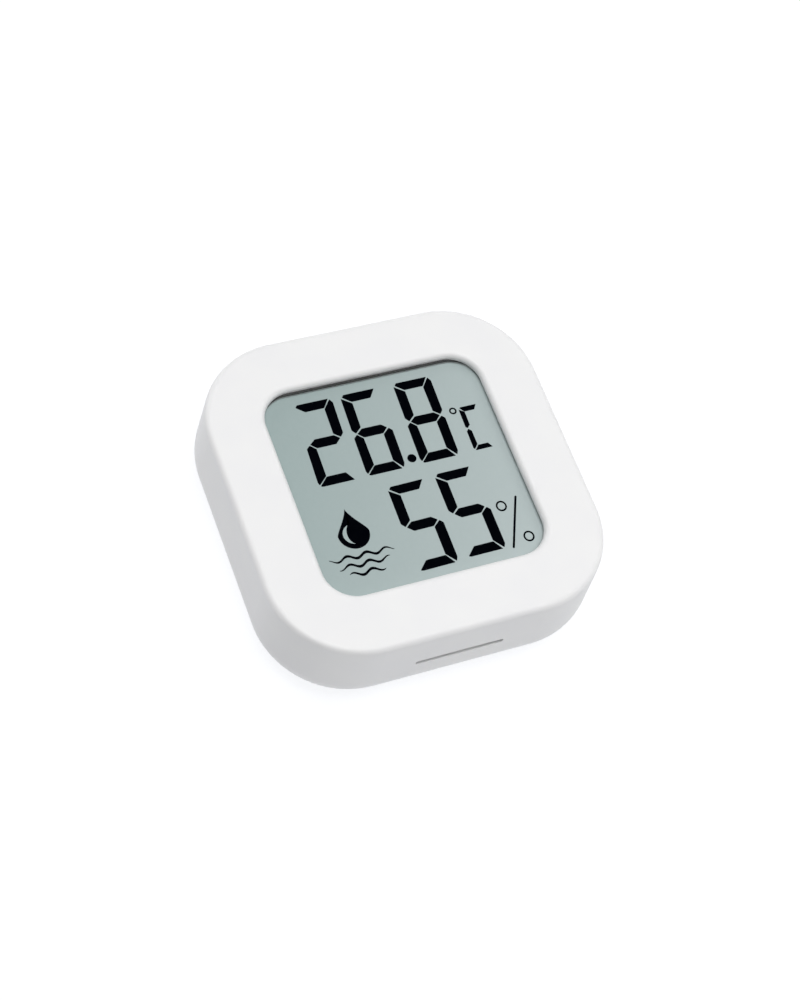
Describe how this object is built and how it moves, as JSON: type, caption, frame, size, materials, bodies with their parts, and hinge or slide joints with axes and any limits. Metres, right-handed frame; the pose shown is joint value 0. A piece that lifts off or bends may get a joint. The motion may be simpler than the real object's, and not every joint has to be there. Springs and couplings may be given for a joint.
{
  "type": "temperature humidity sensor",
  "caption": "Small square indoor sensor with rounded corners that shows temperature and humidity on a reflective segment display.",
  "frame": {"origin": "centre of the flat back face, on which the sensor lies", "axes": "+Z out of the display, +Y to the top of the display, +X to its right as the reader sees it"},
  "size_m": [0.043, 0.043, 0.012],
  "materials": {
    "white_abs": "satin, fine spark texture",
    "black_foam": "matt",
    "display_film": "satin",
    "display_glass": "polished",
    "reflector_film": "satin",
    "natural_abs": "satin",
    "silicone_rubber": "matt",
    "board_laminate": "satin",
    "black_resin": "gloss",
    "nickel_plate": "satin",
    "black_ceramic": "satin",
    "tan_ceramic": "satin",
    "black_nylon": "satin",
    "cell_steel": "satin",
    "seal_plastic": "satin",
    "cell_mix": "matt",
    "zinc_steel": "satin"
  },
  "bodies": {
    "case": {"front_housing": "white_abs", "rear_cover": "white_abs", "display_gasket": "black_foam", "front_polariser": "display_film", "front_glass": "display_glass", "rear_glass": "display_glass", "rear_polariser": "reflector_film", "display_bracket": "natural_abs", "connector_strip": "silicone_rubber", "main_board": "board_laminate", "controller_blob": "black_resin", "humidity_sensor": "black_resin", "clock_crystal": "nickel_plate", "chip_resistors": "black_ceramic", "chip_capacitors": "tan_ceramic", "positive_contact": "nickel_plate", "negative_contact": "nickel_plate", "switch_base": "black_nylon", "switch_frame": "nickel_plate", "cell_can": "cell_steel", "cell_cap": "cell_steel", "cell_gasket": "seal_plastic", "cell_filling": "cell_mix", "board_screws": "zinc_steel"},
    "battery_door": {"battery_door": "white_abs"},
    "unit_button": {"unit_button": "white_abs", "switch_stem": "black_nylon"}
  },
  "joints": [
    {"name": "door_turn", "type": "hinge", "parent": "case", "child": "battery_door", "pos_m": [0, 0, 0.00065], "axis": [0, 0, -1], "range_deg": [0, 30]},
    {"name": "button_press", "type": "slide", "parent": "case", "child": "unit_button", "axis": [0, 0, 1], "range_m": [0, 0.00025], "stiffness_N_per_m": 4000}
  ]
}
